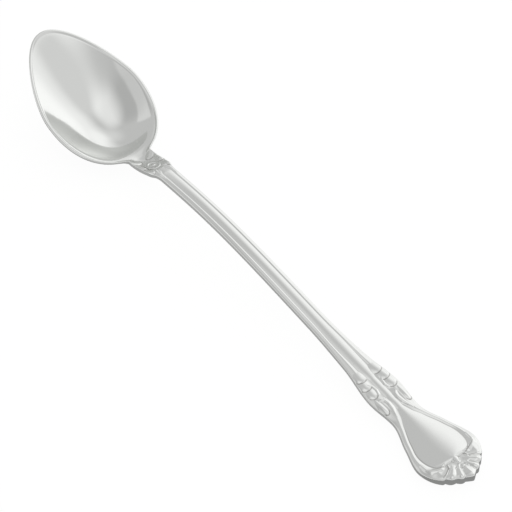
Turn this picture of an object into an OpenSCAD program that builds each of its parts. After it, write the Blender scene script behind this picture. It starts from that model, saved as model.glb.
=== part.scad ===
// Iced tea spoon: one stamped steel blank, drawn as its four sections.
// The length runs along X, bowl towards -X, and the spoon stands on Z = 0.
// A place along the spoon is its distance from the bowl's tip.

/* [Overall] */
// Length from the bowl's tip to the handle's end
overall_length = 190; // [170:1:210]

/* [Bowl] */
// Length of the bowl, tip to heel
bowl_length = 46.7; // [40:0.1:54]
// Width of the bowl over its rim
bowl_width = 33; // [28:0.5:36]
// Depth of the bowl inside, below its rim
bowl_depth = 7.3; // [6:0.1:10]
// Thickness of the metal at the bowl's floor
bowl_floor = 2.8; // [1.4:0.1:3.4]
// Thickness of the rim
rim_thickness = 1.1; // [0.8:0.1:1.6]
// Height that the bowl's tip stands above the rim's middle, as the spoon lies
tip_rise = 8.4; // [0:0.2:10]

/* [Neck] */
// Length of the neck, heel to stem
neck_length = 14.2; // [11:0.1:18]
// Width of the neck at the heel
neck_width = 8; // [6:0.1:9.5]
// Thickness of the neck, where the spoon is strongest
neck_thickness = 3; // [2.4:0.1:4.2]
// Height of the neck's top at the heel
neck_height = 4.4; // [3:0.1:9]
// Depth of the hollow that the bowl sends into the neck
neck_dip = 1.5; // [0.5:0.1:1.8]

/* [Stem] */
// Width of the stem next to the neck
stem_front_width = 5.6; // [4.6:0.1:6.4]
// Width of the stem next to the shoulder
stem_back_width = 6.2; // [5.6:0.1:8]
// Thickness of the stem
stem_thickness = 2.8; // [2.1:0.1:3.4]
// Height of the stem's top at the crest of its arch
arch_height = 9.4; // [7:0.1:18]

/* [Handle] */
// Length of the ornamented shoulder
shoulder_length = 21.1; // [18:0.1:25]
// Width of the shoulder at its fullest
shoulder_width = 11.1; // [10:0.1:13]
// Width of the waist between shoulder and grip
waist_width = 9.6; // [8.8:0.1:11]
// Length of the grip, waist to end
grip_length = 27.2; // [24:0.1:34]
// Width of the grip at its fullest
grip_width = 19.6; // [17:0.1:22]
// Thickness of the grip
grip_thickness = 2.5; // [1.8:0.1:3]
// Height that the handle's end turns up over its place of rest
end_rise = 2; // [0:0.1:3]
// Depth of the worn flats that the spoon lies on
rest_flat = 0.12; // [0.05:0.01:0.2]

/* [Relief] */
// Run in which the ornament rises from the edge
ornament_foot = 0.5; // [0.2:0.05:1]
// Width of the stem's thread, from the edge to its groove
thread_width = 1.45; // [1.1:0.05:1.9]
// Height of the stem's thread over its groove
thread_height = 0.4; // [0.2:0.05:0.6]
// Height of the grip's crowned panel over its grooves
panel_crown = 0.95; // [0.4:0.05:1.2]
// Height of the scrolls and leaves
scroll_height = 0.6; // [0.4:0.05:0.9]
// Depth of the shell, from the handle's end inwards
shell_depth = 5.2; // [4.2:0.1:6.4]
// Depth of the notches between the shell's lobes
lobe_notch = 0.5; // [0.2:0.05:0.8]

/* [Hidden] */

// Places along the spoon
heel_at = bowl_length;
stem_at = heel_at + neck_length;
grip_at = overall_length - grip_length;
shoulder_at = grip_at - shoulder_length;
stem_length = shoulder_at - stem_at;
// The grip is fullest where its round end begins
end_round_share = 0.4;
end_round = grip_length * end_round_share;
round_at = overall_length - end_round;
// Turns round the end at which the shell and its middle lobe begin
shell_turn = 39;
middle_turn = 68;
shell_at = round_at + end_round * sin(shell_turn);
// How much the end draws in towards its point
end_point_share = 1.6;

// Bowl
half_bowl = bowl_length / 2;
// How much fuller the egg is towards its heel
egg_share = 0.2;
// How full the egg is: 2 is an ellipse
egg_power = 1.75;
function egg_shape(u) = sqrt(max(0, 1 - pow(abs(u), egg_power))) * (1 + egg_share * u);
egg_peak = max([for (u = [0:0.02:0.6]) egg_shape(u)]);
// How much fuller the bowl's back and its hollow are than a plain parabola
back_fullness = -0.1;
hollow_fullness = -0.05;
// How much deeper both are towards the heel
back_skew = 0.25;
hollow_skew = 0.5;
rim_height = bowl_depth + bowl_floor;
// Radius that runs the bowl's outline and back into the neck
heel_fillet = neck_width * 0.30;
drop_fillet = neck_thickness * 0.6;
// Height of the side wall as a share of the metal: along the sides, and round the end
edge_share = 0.42;
end_edge_share = 0.9;
end_edge_turn = 40;

// Ribs and rings. Each rib runs from the edge in to the centre line
border_steps = 9;
panel_steps = 6;
top_steps = border_steps + panel_steps;
back_shares = [1, 0.93, 0.78, 0.56, 0.32, 0.1, 0];
back_steps = len(back_shares) - 1;
half_ring = top_steps + back_steps + 1;
bowl_ribs = 33;
neck_ribs = 30;
stem_ribs = 12;
shoulder_ribs = 40;
grip_ribs = 24;
end_ribs = 30;
// How far the fan of ribs stands back from the bowl's tip and from the handle's end
bowl_fan = bowl_length * 0.12;
bowl_fan_share = 0.5;
end_fan = end_round * 0.62;

// Lobes on each side of the shell's middle one
side_lobes = 2;
lobe_turn = (middle_turn - shell_turn) / side_lobes;

function square_of(v) = v * v;
function clamp01(v) = max(0, min(1, v));
function ease(v) = let (c = clamp01(v)) c * c * (3 - 2 * c);
function mix(a, b, share) = a + (b - a) * share;
// 1 inside from..to, with an eased run of the given length at both ends
function window(v, from, to, run) = ease((v - from) / run) * ease((to - v) / run);
// The larger or smaller of two heights, rounded where they cross
function smooth_max(a, b, fillet) =
    max(a, b) + square_of(max(0, fillet - abs(a - b))) / (4 * fillet);
function smooth_min(a, b, fillet) = -smooth_max(-a, -b, fillet);

// A smooth curve through stations [place, value] that never overshoots them
function slope_after(st, i) = (st[i + 1][1] - st[i][1]) / (st[i + 1][0] - st[i][0]);
function station_slope(st, i, end_slope) =
    (i == 0 || i == len(st) - 1)
        ? end_slope * slope_after(st, i == 0 ? 0 : i - 1)
        : let (a = slope_after(st, i - 1), b = slope_after(st, i))
          a * b <= 0 ? 0 : 2 * a * b / (a + b);
function curve(st, v, end_slope = 0) =
    v <= st[0][0] ? st[0][1] :
    v >= st[len(st) - 1][0] ? st[len(st) - 1][1] :
    let (
        i = max([for (k = [0:len(st) - 2]) if (v >= st[k][0]) k]),
        span = st[i + 1][0] - st[i][0],
        t = (v - st[i][0]) / span,
        a = station_slope(st, i, end_slope) * span,
        b = station_slope(st, i + 1, end_slope) * span
    )
    (1 + 2 * t) * square_of(1 - t) * st[i][1] + t * square_of(1 - t) * a
        + square_of(t) * (3 - 2 * t) * st[i + 1][1] - square_of(t) * (1 - t) * b;

// Thickness of the handle's blank
blank = [
    [heel_at, neck_thickness],
    [stem_at, stem_thickness],
    [shoulder_at, mix(grip_thickness, stem_thickness, 0.4)],
    [overall_length, grip_thickness]
];

// Side view: height of the rim in the bowl and of the grooves on the handle
knee_share = 0.8;
arch_at_share = 0.24;
fall_share = 0.155;
rest_share = 0.47;
rest_at = grip_at + grip_length * rest_share;
front_profile = [
    [0, rim_height + tip_rise],
    [half_bowl, rim_height],
    [heel_at, neck_height],
    [stem_at, mix(neck_height, arch_height, knee_share)]
];
// Lowest point of the bowl's back, to which the handle comes down as well
bowl_low = min([for (s = [half_bowl:rim_thickness:heel_at])
    curve(front_profile, s, 1) - rim_height * dish([s, 0], 0, back_fullness, back_skew)]);
rest_height = curve(blank, rest_at) + bowl_low - rest_flat / 2;
profile = [
    front_profile[0],
    front_profile[1],
    front_profile[2],
    front_profile[3],
    [stem_at + stem_length * arch_at_share, arch_height],
    [shoulder_at, mix(grip_thickness, arch_height, fall_share)],
    [rest_at, rest_height],
    [overall_length, rest_height + end_rise]
];
function height(s) = curve(profile, s, 1);

// Plan view: half the width
handle_plan = [
    [heel_at - neck_length, neck_width / 2],
    [heel_at + neck_length * 0.36, neck_width / 2],
    [heel_at + neck_length * 0.70, mix(stem_front_width, neck_width, 0.78) / 2],
    [heel_at + neck_length * 0.84, mix(stem_front_width, neck_width, 0.18) / 2],
    [stem_at, stem_front_width / 2],
    [shoulder_at - stem_length * 0.2, mix(stem_front_width, stem_back_width, 0.7) / 2],
    [shoulder_at, mix(stem_back_width, shoulder_width, 0.3) / 2],
    [shoulder_at + shoulder_length * 0.61, shoulder_width / 2],
    [grip_at, waist_width / 2],
    [mix(grip_at, round_at, 0.52), mix(waist_width, grip_width, 0.55) / 2],
    [round_at, grip_width / 2]
];
function bowl_half(s, inset = 0) =
    (bowl_width / 2 - inset) * egg_shape((s - half_bowl) / (half_bowl - inset)) / egg_peak;
function half_width(s) =
    s < half_bowl ? bowl_half(s) :
    s > heel_at ? curve(handle_plan, s) :
    smooth_max(bowl_half(s), curve(handle_plan, s), heel_fillet);

// Border: the strip inside the edge that holds the threads and scrolls
waist_at = mix(grip_at, round_at, 0.65);
border_plan = [
    [half_bowl, bowl_width * 0.14],
    [heel_at - neck_length * 0.2, bowl_width * 0.14],
    [heel_at + neck_length * 0.2, neck_width * 0.42],
    [heel_at + neck_length * 0.75, neck_width * 0.34],
    [heel_at + neck_length * 0.95, thread_width],
    [stem_at, thread_width],
    [shoulder_at - stem_length * 0.12, thread_width * 1.03],
    [shoulder_at, thread_width * 1.5],
    [shoulder_at + shoulder_length * 0.22, thread_width * 2],
    [shoulder_at + shoulder_length * 0.45, shoulder_width * 0.4],
    [shoulder_at + shoulder_length * 0.8, shoulder_width * 0.4],
    [grip_at, thread_width * 2.1],
    [grip_at + shoulder_length * 0.15, thread_width * 1.4],
    [waist_at, thread_width * 1.25],
    [round_at, thread_width * 2.05],
    [mix(round_at, shell_at, 0.5), thread_width * 2.6],
    [shell_at, shell_depth * 1.15],
    [overall_length, shell_depth * 1.1]
];
// Height of the border's roll, as a share of the stem's thread
roll_plan = [
    [heel_at - neck_length * 0.1, 0],
    [heel_at + neck_length * 0.5, 0.4],
    [stem_at, 1],
    [shoulder_at, 1],
    [shoulder_at + shoulder_length * 0.4, 0.8],
    [shoulder_at + shoulder_length * 0.66, 0.8],
    [shoulder_at + shoulder_length * 0.8, 1.4],
    [grip_at, 1.4],
    [waist_at, 1.3],
    [round_at, 1.9]
];
grip_panel = grip_width / 2 - curve(border_plan, round_at);

// 0 at the bowl's deepest point and 1 on its outline
function egg_radius(p, inset) =
    let (u = (p[0] - half_bowl) / (half_bowl - inset))
    let (fullness = (1 + egg_share * u) * (bowl_width / 2 - inset) / egg_peak)
    sqrt(pow(abs(u), egg_power) + square_of(p[1] / max(fullness, rim_thickness)));
// 1 at the bowl's middle and 0 on its outline, deeper towards the heel
function dish(p, inset, fullness, skew) =
    let (square = square_of(egg_radius(p, inset)))
    (1 - square) * (1 + fullness * square) * (1 + skew * (p[0] - half_bowl) / half_bowl);

// Relief. A stroke is a rounded line through points, which narrows to a share of its width
// at its ends: [points, width, share at the start, share at the end]. A leaf is an oval
// that ends steeply towards the handle's end: [centre, half length, half width, turn].
// Both are drawn on the side of +Y and repeated on the other.
soft_reach = 1.35;
function swell(stroke, i) =
    min(mix(stroke[2], 1, min(1, i / 2)), mix(stroke[3], 1, min(1, (len(stroke[0]) - 1 - i) / 2)));
function to_part(p, stroke, i) =
    let (
        a = stroke[0][i],
        ab = stroke[0][i + 1] - a,
        t = clamp01(((p - a) * ab) / (ab * ab)),
        reach = stroke[1] / 2 * soft_reach * mix(swell(stroke, i), swell(stroke, i + 1), t)
    )
    norm(p - a - ab * t) / reach;
// A rounded bump that fades out a little past its size
function soft_bump(away) = square_of(1 - square_of(min(1, away)));
function stroke_relief(p, stroke) =
    soft_bump(min([for (i = [0:len(stroke[0]) - 2]) to_part(p, stroke, i)]));
leaf_lean = 2.2;
leaf_share = 0.8;
function leaf_relief(p, leaf) =
    let (
        v = p - leaf[0],
        along = (v[0] * cos(leaf[3]) + v[1] * sin(leaf[3])) / leaf[1],
        across = (v[1] * cos(leaf[3]) - v[0] * sin(leaf[3])) / leaf[2]
    )
    leaf_share * max(0, 1 - square_of(norm([along > 0 ? along * leaf_lean : along, across]) / soft_reach));
function arc_path(centre, radius, from, to, steps = 8) =
    [for (i = [0:steps]) let (turn = mix(from, to, i / steps)) centre + radius * [cos(turn), sin(turn)]];

scroll_width = thread_width * 0.62;
// Places are shares of a section's length and of its half width
function neck_place(along, across) = [heel_at + neck_length * along, neck_width / 2 * across];
function shoulder_place(along, across) =
    [shoulder_at + shoulder_length * along, shoulder_width / 2 * across];
function grip_place(along, across) =
    [grip_at + (round_at - grip_at) * along, grip_width / 2 * across];
function end_place(along, across) =
    [overall_length - shell_depth * along, grip_width / 2 * across];

// Neck: an oval boss in a ring, leaves out to the edge, and the arms of the threads
neck_strokes = [
    [[for (turn = [0:30:180])
        neck_place(0.47, 0) + [neck_width * 0.26 * cos(turn), neck_width * 0.19 * sin(turn)]],
     scroll_width, 1, 1],
    [[neck_place(0.64, 0.34), neck_place(0.78, 0.48), neck_place(0.92, 0.50), neck_place(1.04, 0.48)],
     scroll_width, 0.5, 0.4]
];
neck_leaves = [
    [neck_place(0.46, 0), neck_width * 0.15, neck_width * 0.10, 0],
    [neck_place(0.16, 0.50), neck_length * 0.13, neck_width * 0.12, -40],
    [neck_place(0.42, 0.78), neck_length * 0.17, neck_width * 0.10, 0],
    [neck_place(0.72, 0.80), neck_length * 0.13, neck_width * 0.10, -8]
];
// Shoulder: two leaves follow the end of the stem's thread, a C-scroll holds a third,
// a slender one lies along the waist's edge, and the grip's thread begins as a hook
shoulder_strokes = [
    [[shoulder_place(0.39, 0.47), shoulder_place(0.45, 0.32), shoulder_place(0.52, 0.28),
      shoulder_place(0.58, 0.35), shoulder_place(0.61, 0.50), shoulder_place(0.60, 0.66)],
     scroll_width, 0.4, 0.3],
    [[shoulder_place(0.67, 0.60), shoulder_place(0.67, 0.46), shoulder_place(0.70, 0.35),
      shoulder_place(0.76, 0.31), shoulder_place(0.85, 0.35), shoulder_place(0.94, 0.45),
      shoulder_place(1.00, 0.52)],
     thread_width, 0.3, 0.3]
];
shoulder_leaves = [
    [shoulder_place(0.285, 0.52), shoulder_length * 0.10, shoulder_width * 0.12, 12],
    [shoulder_place(0.415, 0.62), shoulder_length * 0.10, shoulder_width * 0.12, 12],
    [shoulder_place(0.56, 0.62), shoulder_length * 0.10, shoulder_width * 0.11, 10],
    [shoulder_place(0.81, 0.72), shoulder_length * 0.15, shoulder_width * 0.07, 0]
];
// Grip: its thread turns in at the end as a hook that runs out to a point
curl = [
    [grip_place(0.93, 0.84), end_place(1.90, 0.83), end_place(1.68, 0.76), end_place(1.54, 0.65),
     end_place(1.50, 0.52), end_place(1.54, 0.42), end_place(1.60, 0.33)],
    thread_width * 1.2, 0.6, 0.12
];
// End: an arc from each hook to the eye in the middle of the shell
end_strokes = [
    curl,
    [[end_place(1.42, 0.32), end_place(1.22, 0.33), end_place(1.02, 0.29), end_place(0.94, 0.18)],
     scroll_width, 0.5, 0.8],
    [arc_path(end_place(0.83, 0), shell_depth * 0.25, 60, 180), scroll_width * 0.8, 1, 1]
];
end_leaves = [
    [end_place(0.83, 0), shell_depth * 0.12, shell_depth * 0.12, 0]
];

function all_relief(p, strokes, leaves) =
    max([for (a = strokes) stroke_relief(p, a), for (b = leaves) leaf_relief(p, b)]);
function scrolls(p) =
    let (q = [p[0], abs(p[1])])
    q[0] > heel_at - neck_length * 0.2 && q[0] < stem_at + thread_width
        ? all_relief(q, neck_strokes, neck_leaves) :
    q[0] > shoulder_at - shoulder_length * 0.1 && q[0] < grip_at
        ? all_relief(q, shoulder_strokes, shoulder_leaves) :
    q[0] >= grip_at && q[0] < round_at ? stroke_relief(q, curl) :
    q[0] >= round_at ? all_relief(q, end_strokes, end_leaves) : 0;

// The border's roll: a broad convex flank up from the edge, and a steep one inside
crest_share = 0.62;
function roll(d, width) =
    let (crest = width * crest_share)
    d < crest ? 1 - square_of((crest - d) / crest) : 1 - ease((d - crest) / (width - crest));
// It gives way to the shell between these turns round the end
roll_end = [20, 32];
function roll_share(rib) =
    curve(roll_plan, rib[0][0]) * (1 - ease((rib[2] - roll_end[0]) / (roll_end[1] - roll_end[0])));

// One flute per lobe of the shell, 1 on its crest and 0 in the notches beside it
function lobe(turn) =
    turn > middle_turn
        ? sin(90 * (turn - middle_turn) / (90 - middle_turn))
        : abs(sin(180 * (turn - shell_turn) / lobe_turn));
function shell_share(turn) = ease((turn - shell_turn + lobe_turn / 4) / (lobe_turn / 4));

// A rib: [edge point, centre point, quarter turn round the handle's end]
function straight_rib(s) = [[s, half_width(s)], [s, 0], 0];
function bowl_rib(s) =
    let (lead = bowl_fan * square_of(max(0, 1 - s / (bowl_length * bowl_fan_share))))
    [[s, half_width(s)], [s + lead, 0], 0];
function end_rib(turn) =
    let (
        lobed = 1 - lobe_notch / end_round * (1 - lobe(turn)) * shell_share(turn)
    )
    [
        [round_at + end_round * sin(turn) * lobed, grip_width / 2 * pow(cos(turn), end_point_share) * lobed],
        [mix(round_at, overall_length - end_fan, sin(turn)), 0],
        turn
    ];

// The panel keeps at least this share of a rib
panel_share = 0.2;
function border(rib) =
    min(curve(border_plan, rib[0][0]), norm(rib[0] - rib[1]) * (1 - panel_share));
function rib_point(rib, d) =
    let (reach = norm(rib[1] - rib[0])) mix(rib[0], rib[1], d / reach);

// Top of the metal at a distance d in from the edge
function rim_round(d) =
    rim_thickness * 0.35 * (sin(180 * clamp01(d / rim_thickness)) - 1);
// The hollow runs out softly through the neck
dip_run = neck_length * 0.35;
function dip(p) =
    p[0] < heel_at - dip_run ? 0 :
    neck_dip * ease((p[0] - heel_at + dip_run) / dip_run) * ease((stem_at - p[0]) / (dip_run * 2))
        * max(0, 1 - square_of(p[1] / half_width(p[0])));
function hollow(p) =
    let (
        soft = rim_thickness * mix(0.2, 1.8, ease((p[0] - half_bowl) / half_bowl)),
        dished = bowl_depth * dish(p, rim_thickness, hollow_fullness, hollow_skew)
    )
    p[0] > stem_at ? 0 :
    max(0, smooth_max(dished, dip(p), soft) - soft / 4 * ease((p[0] - heel_at) / dip_run));
// The panel's crown keeps one curvature, so it is as high as the panel is wide
function crown_height(rib, half_panel) =
    let (run_in = ease((rib[0][0] - heel_at - neck_length * 0.4) / (neck_length * 0.5)))
    panel_crown * run_in / grip_panel
        * (rib[2] == 0 ? half_panel : grip_panel * mix(1, 0.6, square_of(sin(rib[2]))));
function top_z(rib, d) =
    let (
        p = rib_point(rib, d),
        edge = border(rib),
        reach = norm(rib[1] - rib[0]),
        inner = clamp01((d - edge) / (reach - edge)),
        in_bowl = 1 - ease((p[0] - heel_at + neck_length * 0.2) / (neck_length * 0.3)),
        crown = crown_height(rib, reach - edge) * (1 - in_bowl) * (1 - square_of(1 - inner)),
        flute = shell_share(rib[2]) * lobe(rib[2]) * window(d, -edge * 0.2, edge * 0.9, edge * 0.35),
        raised = max(thread_height * roll_share(rib) * roll(d, edge),
                     scroll_height * scrolls(p) * ease(d / ornament_foot),
                     scroll_height * flute)
    )
    height(p[0]) - hollow(p) + in_bowl * rim_round(d) + max(crown, raised);

// Back of the metal at a share of the rib, 1 at the edge and 0 on the centre line
function bar_back(rib, p, share) =
    let (wall_share = mix(edge_share, end_edge_share, ease(rib[2] / end_edge_turn)))
    height(p[0]) - curve(blank, p[0]) * (1 - (1 - wall_share) * pow(share, 3));
function heel_back(p) =
    height(p[0]) - neck_thickness
        + neck_thickness * (1 - edge_share) * square_of(p[1] / (neck_width / 2));
function bowl_back(p) =
    height(p[0]) - rim_thickness * 0.8
        - (rim_height - rim_thickness * 0.8) * dish(p, 0, back_fullness, back_skew);
function back_z(rib, share) =
    let (p = mix(rib[1], rib[0], share))
    p[0] < half_bowl ? bowl_back(p) :
    p[0] < heel_at
        ? min(smooth_min(bowl_back(p), heel_back(p), drop_fillet), height(p[0]) - rim_thickness * 0.7)
        : mix(heel_back(p), bar_back(rib, p, share), ease((p[0] - heel_at) / (neck_length * 0.5)));

function inset_of(rib, k) =
    let (edge = border(rib), reach = norm(rib[1] - rib[0]))
    k <= border_steps
        ? edge * k / border_steps
        : mix(edge, reach, (k - border_steps) / panel_steps);

// Half of a ring round the metal, from the back's centre line over the edge to the top's
function half_loop(rib) = [
    for (k = [back_steps:-1:0])
        let (p = mix(rib[1], rib[0], back_shares[k])) [p[0], p[1], back_z(rib, back_shares[k])],
    for (k = [0:top_steps])
        let (p = rib_point(rib, inset_of(rib, k))) [p[0], p[1], top_z(rib, inset_of(rib, k))]
];
function mirrored(p) = [p[0], -p[1], p[2]];
function full_loop(rib) =
    let (half = half_loop(rib))
    [for (p = half) p, for (k = [half_ring - 1:-1:1]) mirrored(half[k])];

// A solid through full rings. With a fold, a last half ring closes a round end
module loft(ribs, fold = false) {
    around = 2 * half_ring;
    rings = len(ribs) - (fold ? 1 : 0);
    points = [
        for (i = [0:rings - 1]) for (p = full_loop(ribs[i])) placed(p),
        if (fold) for (p = half_loop(ribs[rings])) placed(p)
    ];
    function last(j) = j <= half_ring ? j : around - j;
    function at(i, j) =
        let (w = j % around) i < rings ? i * around + w : rings * around + last(w);
    faces = [
        [for (j = [0:around - 1]) j],
        if (!fold) [for (j = [around - 1:-1:0]) (rings - 1) * around + j],
        for (i = [0:len(ribs) - 2]) for (j = [0:around - 1]) [at(i, j), at(i + 1, j), at(i + 1, j + 1)],
        for (i = [0:len(ribs) - 2]) for (j = [0:around - 1])
            if (at(i + 1, j + 1) != at(i + 1, j) || i < rings - 1) [at(i, j), at(i + 1, j + 1), at(i, j + 1)]
    ];
    // Ribs that run towards the bowl's tip turn the faces inside out
    outward = ribs[1][1][0] > ribs[0][1][0];
    turned = [for (f = faces) [for (k = [len(f) - 1:-1:0]) f[k]]];
    polyhedron(points, outward ? faces : turned, convexity = 6);
}

// Stations of each section
function spaced(from, to, steps) = [for (i = [0:steps]) mix(from, to, i / steps)];
bowl_sections = [for (i = [bowl_ribs:-1:0]) bowl_rib(heel_at * (1 - cos(90 * i / bowl_ribs)))];
neck_sections = [for (s = spaced(heel_at, stem_at, neck_ribs)) straight_rib(s)];
stem_sections = [for (s = spaced(stem_at, shoulder_at, stem_ribs)) straight_rib(s)];
handle_sections = [
    for (s = spaced(shoulder_at, grip_at, shoulder_ribs)) straight_rib(s),
    for (s = spaced(grip_at, round_at, grip_ribs)) if (s > grip_at) straight_rib(s),
    for (turn = spaced(0, 90, end_ribs)) if (turn > 0) end_rib(turn)
];

// Centred on X and lowered until both places of rest are flats on Z = 0
lowest = min([for (rib = bowl_sections) back_z(rib, 0)]) + rest_flat;
function placed(p) = [p[0] - overall_length / 2, p[1], max(0, p[2] - lowest)];

module bowl() { color("gainsboro") loft(bowl_sections, fold = true); }
module neck() { color("silver") loft(neck_sections); }
module stem() { color("lightgray") loft(stem_sections); }
module handle() { color("gainsboro") loft(handle_sections, fold = true); }

bowl();
neck();
stem();
handle();
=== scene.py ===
"""Iced tea spoon of polished stainless steel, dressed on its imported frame.

One stamped blank, drawn as its four sections. Each section is a flat strip that is
pressed onto the spoon's form, doubled over the plane through its length and closed.
Lengths are metres. A place along the spoon is its distance from the bowl's tip.
"""

from math import cos, hypot, pi, radians, sin, sqrt

import bpy
from bpy.props import FloatProperty, FloatVectorProperty, IntProperty, PointerProperty
from mathutils import Matrix, Vector


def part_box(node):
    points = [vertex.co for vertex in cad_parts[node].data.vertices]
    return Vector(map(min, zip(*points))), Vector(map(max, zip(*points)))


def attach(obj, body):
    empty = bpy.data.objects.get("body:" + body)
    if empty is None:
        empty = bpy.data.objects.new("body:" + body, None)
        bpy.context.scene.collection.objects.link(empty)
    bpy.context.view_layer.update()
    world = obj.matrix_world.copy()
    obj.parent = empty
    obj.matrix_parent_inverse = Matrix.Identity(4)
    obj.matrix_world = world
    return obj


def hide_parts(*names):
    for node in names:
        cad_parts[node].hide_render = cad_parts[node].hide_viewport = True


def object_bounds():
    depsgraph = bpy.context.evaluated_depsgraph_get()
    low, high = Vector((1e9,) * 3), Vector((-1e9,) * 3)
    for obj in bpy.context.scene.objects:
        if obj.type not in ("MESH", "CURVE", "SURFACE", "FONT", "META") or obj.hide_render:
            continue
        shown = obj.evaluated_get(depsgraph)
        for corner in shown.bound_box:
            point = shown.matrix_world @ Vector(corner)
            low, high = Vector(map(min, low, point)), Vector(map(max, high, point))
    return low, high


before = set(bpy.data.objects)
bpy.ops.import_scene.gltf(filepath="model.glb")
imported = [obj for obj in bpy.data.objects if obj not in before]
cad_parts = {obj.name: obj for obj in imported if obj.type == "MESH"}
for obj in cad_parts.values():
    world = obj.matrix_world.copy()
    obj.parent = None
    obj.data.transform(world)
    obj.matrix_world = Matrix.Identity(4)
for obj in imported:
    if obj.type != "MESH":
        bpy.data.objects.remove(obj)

bl_info = {
    "name": "Iced Tea Spoon",
    "version": (1, 0, 0),
    "blender": (4, 5, 0),
    "location": "View3D > Sidebar > Spoon",
    "description": "Builds a polished iced tea spoon with threads, scrolls and a shell end",
    "category": "Object",
}

MM = 0.001
CAD_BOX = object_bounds()
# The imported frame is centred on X, so the bowl's tip lies half a length back
TIP_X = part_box("bowl")[0].x


# Colours


def hex_rgb(code):
    """Linear colour of an sRGB hex value."""
    parts = [int(code[i : i + 2], 16) / 255 for i in (1, 3, 5)]
    return [c / 12.92 if c <= 0.04045 else ((c + 0.055) / 1.055) ** 2.4 for c in parts]


# Sizes that a user would change


def length(name, description, mm):
    return FloatProperty(name=name, description=description, default=mm * MM, unit="LENGTH", precision=5)


def share(name, description, value):
    return FloatProperty(name=name, description=description, default=value, subtype="FACTOR")


def colour(name, description, code):
    return FloatVectorProperty(
        name=name, description=description, default=hex_rgb(code), size=3, subtype="COLOR", min=0, max=1
    )


def number(name, description, value):
    return IntProperty(name=name, description=description, default=value)


class SpoonSizes(bpy.types.PropertyGroup):
    """Outline and side view of the blank."""

    overall: length("Length", "Bowl's tip to handle's end", 190)
    bowl: length("Bowl length", "Bowl's tip to heel", 46.7)
    bowl_width: length("Bowl width", "Width over the rim", 33)
    bowl_depth: length("Bowl depth", "Depth of the bowl inside", 7.3)
    bowl_floor: length("Bowl floor", "Thickness of the bowl's floor", 2.8)
    rim: length("Rim", "Thickness of the rim", 1.1)
    tip_rise: length("Tip rise", "Height of the tip over the rim's middle", 8.4)
    neck: length("Neck length", "Heel to stem", 14.2)
    neck_width: length("Neck width", "Width at the heel", 8)
    neck_thickness: length("Neck thickness", "Thickness at the heel", 3)
    neck_height: length("Neck height", "Height of the neck's top at the heel", 4.4)
    neck_dip: length("Neck dip", "Depth of the hollow that the bowl sends into the neck", 1.5)
    stem_front: length("Stem front width", "Width next to the neck", 5.6)
    stem_back: length("Stem back width", "Width next to the shoulder", 6.2)
    stem_thickness: length("Stem thickness", "Thickness of the stem", 2.8)
    arch: length("Arch height", "Height of the stem's top at its crest", 9.4)
    shoulder: length("Shoulder length", "Length of the ornamented shoulder", 21.1)
    shoulder_width: length("Shoulder width", "Width of the shoulder at its fullest", 11.1)
    waist: length("Waist width", "Width between shoulder and grip", 9.6)
    grip: length("Grip length", "Waist to end", 27.2)
    grip_width: length("Grip width", "Width of the grip at its fullest", 19.6)
    grip_thickness: length("Grip thickness", "Thickness of the grip", 2.5)
    end_rise: length("End rise", "Height that the end turns up", 2)
    rest_flat: length("Rest flat", "Depth of the worn flats", 0.12)


class SpoonRelief(bpy.types.PropertyGroup):
    """Ornament that the coining dies press into the top."""

    foot: length("Ornament foot", "Run in which the ornament rises from the edge", 0.5)
    thread_width: length("Thread width", "Width of the stem's thread, from the edge to its groove", 1.45)
    thread_height: length("Thread height", "Height of the stem's thread over the blank", 0.4)
    crown: length("Crown", "Height of the grip's crowned panel over its grooves", 0.95)
    scroll_height: length("Scroll height", "Height of scrolls and leaves", 0.6)
    shell_depth: length("Shell depth", "Depth of the shell from the end", 5.2)
    notch: length("Lobe notch", "Depth of the notches between the lobes", 0.5)
    edge_round: length("Edge rounding", "Rounding that polishing leaves on the edges", 0.28)


class SpoonFinish(bpy.types.PropertyGroup):
    """Finish of the steel."""

    steel: colour("Steel", "Colour of the polished steel", "#E6E7E5")
    # The groove colour is partly painted shade, laid in creases, grooves and engraved lines
    groove: colour("Groove", "Colour of the steel in grooves that polishing misses", "#A3A2A0")
    roughness: share("Roughness", "Blur of the polish", 0.09)


class SpoonStage(bpy.types.PropertyGroup):
    """Floor, studio and camera."""

    floor: length("Floor", "Side of the pale floor", 6000)
    distance: length("Camera distance", "Distance from the middle of the spoon", 675.8)
    scale: FloatProperty(name="Scale", description="Pixels per millimetre at the spoon", default=3.511)
    elevation: FloatProperty(name="Elevation", description="Camera over the floor, degrees", default=52.25)
    azimuth: FloatProperty(name="Azimuth", description="Camera round the spoon, degrees", default=-49.91)
    roll: FloatProperty(name="Roll", description="Turn of the picture, degrees", default=-0.36)
    centre: FloatVectorProperty(
        name="Centre", description="Pixel of the spoon's origin off the middle",
        default=(-11.2, 11.6), size=2,
    )


class SpoonDetail(bpy.types.PropertyGroup):
    """How finely the strips are pressed."""

    bowl_ribs: number("Bowl ribs", "Cross sections of the bowl", 96)
    neck_ribs: number("Neck ribs", "Cross sections of the neck", 110)
    stem_ribs: number("Stem ribs", "Cross sections of the stem", 120)
    shoulder_ribs: number("Shoulder ribs", "Cross sections of the shoulder", 160)
    grip_ribs: number("Grip ribs", "Cross sections of the grip", 100)
    end_ribs: number("End ribs", "Cross sections round the end", 120)
    border_steps: number("Border steps", "Points across the border", 38)
    panel_steps: number("Panel steps", "Points across the panel", 18)
    back_steps: number("Back steps", "Points across the back", 14)


# Curves and blends


def clamp01(v):
    return 0.0 if v < 0 else 1.0 if v > 1 else v


def ease(v):
    c = clamp01(v)
    return c * c * (3 - 2 * c)


def mix(a, b, t):
    return a + (b - a) * t


def window(v, start, stop, run):
    """1 inside start..stop, with an eased run at both ends."""
    return ease((v - start) / run) * ease((stop - v) / run)


def smooth_max(a, b, fillet):
    return max(a, b) + max(0.0, fillet - abs(a - b)) ** 2 / (4 * fillet)


def smooth_min(a, b, fillet):
    return -smooth_max(-a, -b, fillet)


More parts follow.
